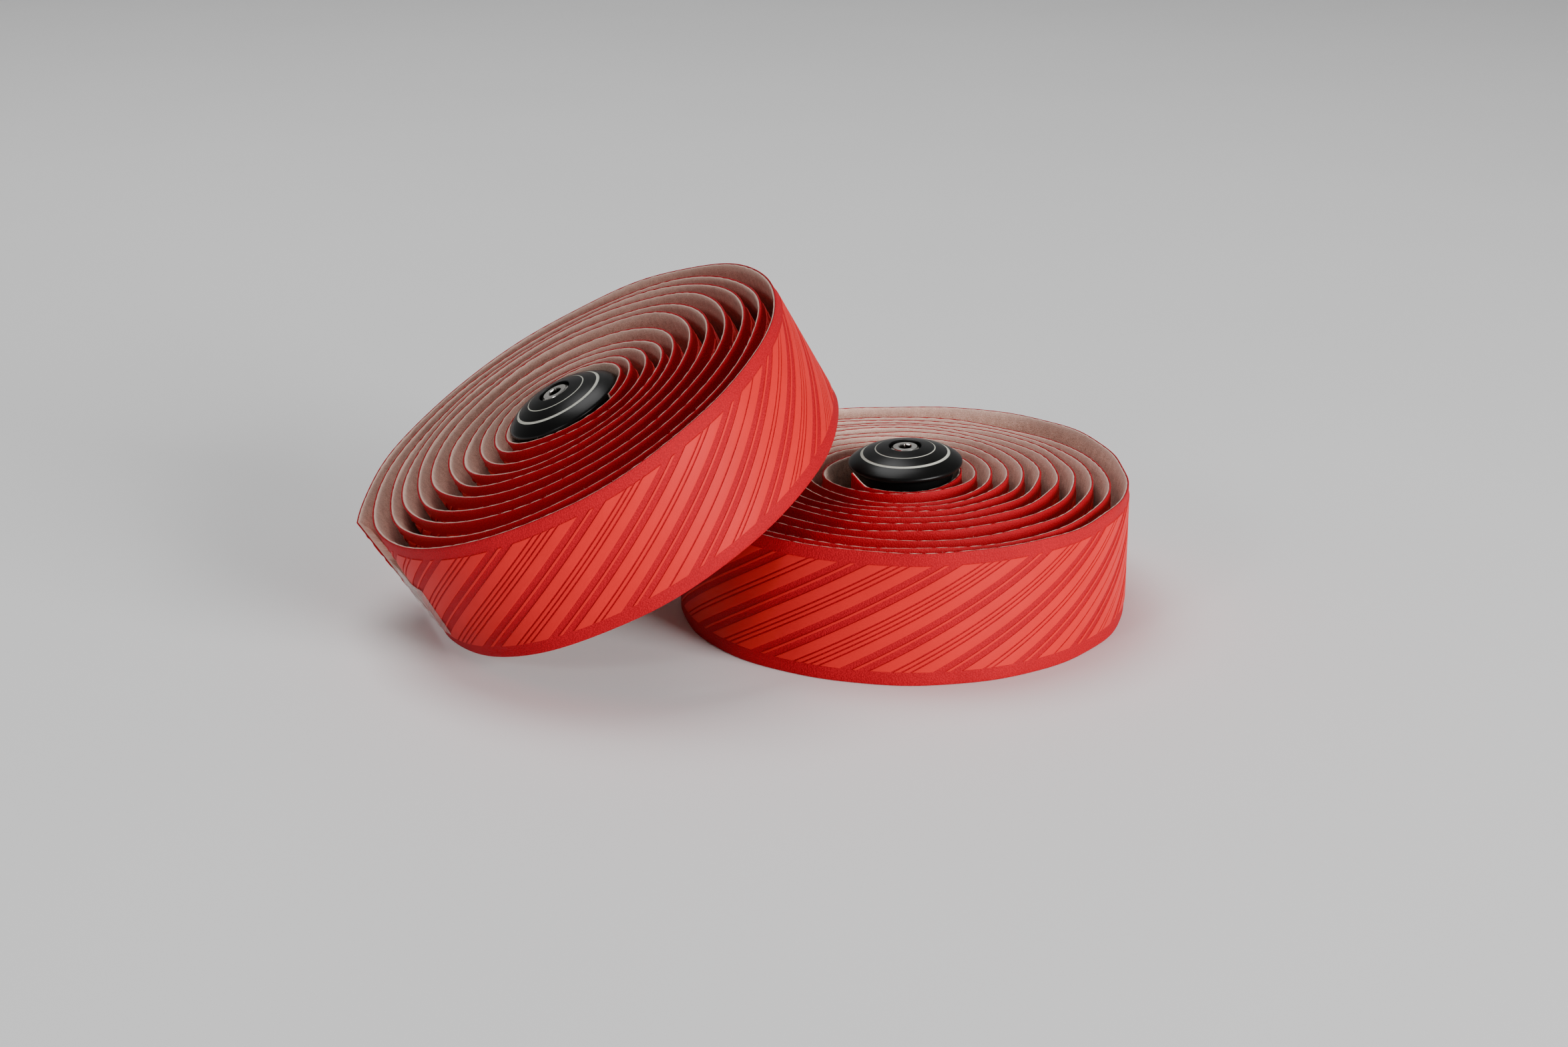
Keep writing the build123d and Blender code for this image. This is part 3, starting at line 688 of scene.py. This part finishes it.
def black_anodising():
    """Black anodised aluminium. Fine turning marks are noise on the outline's length alone, and
    the cut lines are pale and rougher."""
    material, tree, shader = blank("black_anodising", Specular_IOR_Level=0.22)
    cut = mark(tree, "cut")
    run = node(tree, "ShaderNodeMapping", {"Vector": own_uv(tree), "Scale": (0.0, 1.0, 1.0)}).outputs[0]
    rings = noise(tree, run, 160.0, 2.0)
    speck = noise(tree, in_object(tree), 5200.0, 2.0)
    black = ramp(tree, speck, [(0.35, (0.0015, 0.0015, 0.0015)), (0.7, (0.004, 0.004, 0.0038))])
    pale = ramp(tree, speck, [(0.3, (0.50, 0.50, 0.43)), (0.7, (0.64, 0.64, 0.56))])
    tree.links.new(blend(tree, cut, black, pale), shader.inputs["Base Color"])
    rough = sums(tree, "MULTIPLY_ADD", cut, 0.3, between(tree, rings, 0.27, 0.36))
    tree.links.new(rough, shader.inputs["Roughness"])
    bumped(tree, shader, sums(tree, "MULTIPLY_ADD", speck, 0.5, rings), 0.25, 0.00001)
    return material


PLUGS = {}
for roll in ("flat", "leaning"):
    screw_joint = joints[f"{roll}_plug_tighten"]
    up = -np.array(screw_joint["axis"])
    PLUGS[roll] = dict(frame=axis_frame(up), origin=np.array(screw_joint["pos_m"]))

anodised = black_anodising()
outline, cut = cap_outline()
for roll, place in PLUGS.items():
    cap = turned(f"{roll}_plug_domed_cap", outline, place, anodised, 192, marks={"cut": cut})
    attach(cap, f"{roll}_plug")
    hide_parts(f"{roll}_plug_cap")


# ==== Screws and washers ================================================================
# A stainless M4 cap screw, cold-headed and with a rolled thread, clamps each plug. Its head sits
# in the cap's well on a thin stamped washer, and its hexagon socket takes a 3 mm key.
HEAD, HEAD_LOW, HEAD_TOP, SOCKET, SOCKET_DEPTH = 3.5, 1.2, 5.2, 1.5, 2.0
SHANK, SCREW_END, PITCH = 2.0, -28.8, 0.7
THREAD_TOP = HEAD_LOW - 0.9
THREAD_DEPTH = 0.40


def hexagon(angle):
    """Radius of a hexagon of unit inner radius at an angle."""
    sixth = np.pi / 3
    return 1 / np.cos((angle + sixth / 2) % sixth - sixth / 2)


def screw(name, place, material):
    """Screw as a closed shell of rings from the socket's floor up, over the head and down the
    shank. In the socket the rings are hexagons; on the thread the radius falls and rises with
    the height less one pitch a turn; elsewhere they are round."""
    floor = HEAD_TOP - SOCKET_DEPTH
    socket = [(0.05, floor - 0.45), (0.9, floor - 0.05), (SOCKET, floor), (SOCKET, HEAD_TOP - 0.24)]
    head = [(1.80, HEAD_TOP - 0.02), (1.90, HEAD_TOP), (2.9, HEAD_TOP)]
    head += bow((3.02, HEAD_TOP - 0.01), (HEAD, HEAD_TOP - 0.42), -0.12, 6).tolist()
    head += [(HEAD, HEAD_LOW + 0.12), (HEAD - 0.08, HEAD_LOW), (2.3, HEAD_LOW)]
    head += [(2.05, HEAD_LOW - 0.2), (1.98, HEAD_LOW - 0.6)]
    low = np.arange(THREAD_TOP, SCREW_END + 0.5, -PITCH / 8)
    end = [(1.55, SCREW_END + 0.15), (1.4, SCREW_END), (0.05, SCREW_END)]
    outline = np.array(socket + head + np.c_[np.full(len(low), SHANK), low].tolist() + end)
    angle = np.linspace(0, 2 * np.pi, 72, endpoint=False)[None]
    r, z = outline[:, :1] + 0 * angle, outline[:, 1:2] + 0 * angle
    r[1:len(socket)] *= hexagon(angle)
    start = len(socket) + len(head)
    body = slice(start, start + len(low))
    phase = (z[body] / PITCH - angle / (2 * np.pi)) % 1
    fade = np.clip((THREAD_TOP - z[body]) / PITCH, 0, 1)
    r[body] -= fade * THREAD_DEPTH * np.clip(1.25 - np.abs(phase - 0.5) * 4, 0, 1)
    n, m = r.shape
    index = np.arange(n * m).reshape(n, m)
    faces = [ring_faces(index), index[0][None, ::-1], index[-1][None]]
    uv = np.stack(np.broadcast_arrays(angle / (2 * np.pi), z / 10), -1).reshape(-1, 2)
    # Marks the socket's rings, which the steel material colours near-black as painted shade.
    inside = np.repeat(np.arange(n) < len(socket), m)
    return new_piece(name, round_axis(place, r, angle, z), faces, material, uv, {"socket": inside}, 33)


def stainless():
    """Stainless steel: a warm grey metal with fine scratches and slightly uneven shine. The socket's
    rings are coloured near-black as painted shade."""
    material, tree, shader = blank("stainless_steel", Metallic=1.0)
    where = in_object(tree)
    stretched = node(tree, "ShaderNodeMapping", {"Vector": where, "Scale": (1.0, 5.0, 1.0)}).outputs[0]
    scratch = noise(tree, stretched, 1800.0, 4.0)
    stain = noise(tree, where, 350.0, 3.0)
    bright = ramp(tree, stain, [(0.3, (0.66, 0.63, 0.58)), (0.7, (0.84, 0.81, 0.76))])
    # Painted shade: the socket's rings take a near-black colour in place of the steel's.
    colour = blend(tree, mark(tree, "socket"), bright, (0.10, 0.09, 0.08))
    tree.links.new(colour, shader.inputs["Base Color"])
    tree.links.new(between(tree, scratch, 0.16, 0.34), shader.inputs["Roughness"])
    bumped(tree, shader, scratch, 0.2, 0.00001)
    return material


steel = stainless()
WASHER = [(2.2, 0.73), (2.2, 1.17), (2.28, 1.2), (3.7, 1.2), (3.84, 1.14), (3.88, 1.0), (3.86, 0.74),
          (3.8, 0.7), (2.28, 0.7)]
for roll, place in PLUGS.items():
    cap_screw = screw(f"{roll}_plug_cap_screw", place, steel)
    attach(cap_screw, f"{roll}_plug_screw")
    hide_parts(f"{roll}_plug_screw")
    washer = turned(f"{roll}_plug_flat_washer", WASHER, place, steel, 72)
    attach(washer, f"{roll}_plug")
    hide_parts(f"{roll}_plug_washer")


# ==== Expanding tails ===================================================================
# Three jaws and the wedge that drives them apart are moulded in glass-filled nylon. A knurled
# brass insert in the wedge takes the screw, and two rubber rings in grooves hold the jaws shut.
def moulded_nylon():
    """Black glass-filled nylon: a dull skin with fine grain and faint flow marks."""
    material, tree, shader = blank("moulded_nylon", Specular_IOR_Level=0.4)
    where = in_object(tree)
    grain = noise(tree, where, 2400.0, 4.0)
    flow = noise(tree, where, 160.0, 3.0, Distortion=1.5)
    black = ramp(tree, flow, [(0.3, (0.012, 0.012, 0.012)), (0.7, (0.030, 0.029, 0.028))])
    tree.links.new(black, shader.inputs["Base Color"])
    tree.links.new(between(tree, grain, 0.42, 0.62), shader.inputs["Roughness"])
    bumped(tree, shader, grain, 0.35, 0.00003)
    return material


def turned_brass():
    """Brass, darker and shinier in patches where it has been handled."""
    material, tree, shader = blank("turned_brass", Metallic=1.0)
    dull = noise(tree, in_object(tree), 500.0, 4.0)
    colour = ramp(tree, dull, [(0.3, (0.45, 0.27, 0.09)), (0.7, (0.78, 0.53, 0.22))])
    tree.links.new(colour, shader.inputs["Base Color"])
    tree.links.new(between(tree, dull, 0.25, 0.42), shader.inputs["Roughness"])
    return material


def ring_rubber():
    """Black rubber with a powdery bloom."""
    material, tree, shader = blank("ring_rubber", Specular_IOR_Level=0.3)
    bloom = noise(tree, in_object(tree), 900.0, 5.0)
    colour = ramp(tree, bloom, [(0.35, (0.010, 0.010, 0.010)), (0.8, (0.035, 0.034, 0.033))])
    tree.links.new(colour, shader.inputs["Base Color"])
    tree.links.new(between(tree, bloom, 0.55, 0.75), shader.inputs["Roughness"])
    return material


nylon, brass, rubber = moulded_nylon(), turned_brass(), ring_rubber()
RING_MIDDLE, RING_SECTION, RING_DEPTHS = 9.0, 0.75, (8.4, 22.6)
RING_LAP = 0.85           # how far a third runs on past the middle of a slot


def ring_third(name, place, toward, depth, material):
    """A third of a rubber ring, and a little more, as a closed shell. A round section with two
    faint moulding lines is carried round the plug's axis, either side of a jaw's direction. It
    is a shade thinner at its ends, which lie inside the next thirds until the jaws spread."""
    across, along = place["frame"][1] @ toward, place["frame"][0] @ toward
    share = np.linspace(-1, 1, 41)[:, None]
    angle = np.arctan2(across, along) + share * (np.pi / 3 + RING_LAP / RING_MIDDLE)
    turn = np.linspace(0, 2 * np.pi, 24, endpoint=False)[None]
    flash = 1 + 0.03 * np.exp(-((np.abs(np.sin(turn)) / 0.12) ** 2))
    section = RING_SECTION * flash * (1 - 0.05 * np.clip((np.abs(share) - 0.86) / 0.14, 0, 1))
    r, z = RING_MIDDLE + section * np.cos(turn), section * np.sin(turn) - depth
    index = np.arange(r.size).reshape(r.shape)
    faces = [ring_faces(index), index[0][None, ::-1], index[-1][None]]
    return new_piece(name, round_axis(place, r, angle, z), faces, material)


for roll, place in PLUGS.items():
    for part, material in [("wedge", nylon), ("insert", brass)] + [(f"jaw_{k}", nylon) for k in (1, 2, 3)]:
        solid = frame["nodes"][f"{roll}_plug_{part}"]
        solid.data.materials.clear()
        solid.data.materials.append(material)
    for i, depth in enumerate(RING_DEPTHS, 1):
        for k in (1, 2, 3):
            toward = np.array(joints[f"{roll}_plug_jaw_{k}_spread"]["axis"])
            third = ring_third(f"{roll}_plug_ring_{i}_on_jaw_{k}", place, toward, depth, rubber)
            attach(third, f"{roll}_plug_jaw_{k}")
            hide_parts(f"{roll}_plug_ring_{i}")


# ==== Floor, camera and light ===========================================================
# The set stands on a plain pale sheet that curves up behind it, under large soft lamps from
# the right front, the left front and above.
def backdrop():
    """A level floor that turns up into a wall: a line in y and z, a quarter circle between two
    straights, drawn out along x. It lies a twentieth of a millimetre below the set."""
    turn = np.linspace(0, np.pi / 2, 24)
    y = np.concatenate([[-4.0], 2.0 + 1.2 * np.sin(turn), [3.2]])
    z = np.concatenate([[0.0], 1.2 - 1.2 * np.cos(turn), [4.0]]) - 0.00005
    x = np.array([-5.0, 5.0])[None]
    points = np.stack(np.broadcast_arrays(x, y[:, None], z[:, None]), -1)
    index = np.arange(y.size * 2).reshape(-1, 2)
    quads = np.stack([index[:-1, 0], index[:-1, 1], index[1:, 1], index[1:, 0]], -1)
    material, tree, shader = blank("pale_sheet", Roughness=0.8, Specular_IOR_Level=0.1)
    speck = noise(tree, in_object(tree), 6.0, 2.0)
    white = ramp(tree, speck, [(0.3, (0.90, 0.90, 0.90)), (0.7, (0.92, 0.92, 0.92))])
    tree.links.new(white, shader.inputs["Base Color"])
    return new_piece("floor", points.reshape(-1, 3), [quads], material)


backdrop()

camera = bpy.data.objects.new("camera", bpy.data.cameras.new("camera"))
camera.data.lens = 61.26
camera.data.sensor_width = 36.0
camera.location = (0.00916, -0.63265, 0.23783)
camera.rotation_euler = (np.radians(71.15), 0, 0)
camera.data.clip_start = 0.01
bpy.context.scene.collection.objects.link(camera)
bpy.context.scene.camera = camera


def lamp(name, place, aim, size, power):
    """A soft square white lamp at a place, turned towards a point."""
    light = bpy.data.lights.new(name, "AREA")
    light.size, light.energy = size, power
    made = bpy.data.objects.new(name, light)
    made.location = place
    made.rotation_euler = (Vector(aim) - Vector(place)).to_track_quat("-Z", "Y").to_euler()
    bpy.context.scene.collection.objects.link(made)


lamp("right", (1.15, -1.05, 0.34), (0.02, 0, 0.03), 0.8, 40)
lamp("left", (-0.9, -1.2, 0.75), (0, 0, 0.03), 0.3, 3.5)
lamp("over", (-0.3, 0.4, 1.5), (0, 0, 0.03), 0.9, 13)
world = bpy.data.worlds.new("studio")
world.use_nodes = True
world.node_tree.nodes["Background"].inputs["Color"].default_value = (1, 1, 1, 1)
world.node_tree.nodes["Background"].inputs["Strength"].default_value = 0.14
bpy.context.scene.world = world

bpy.context.view_layer.update()
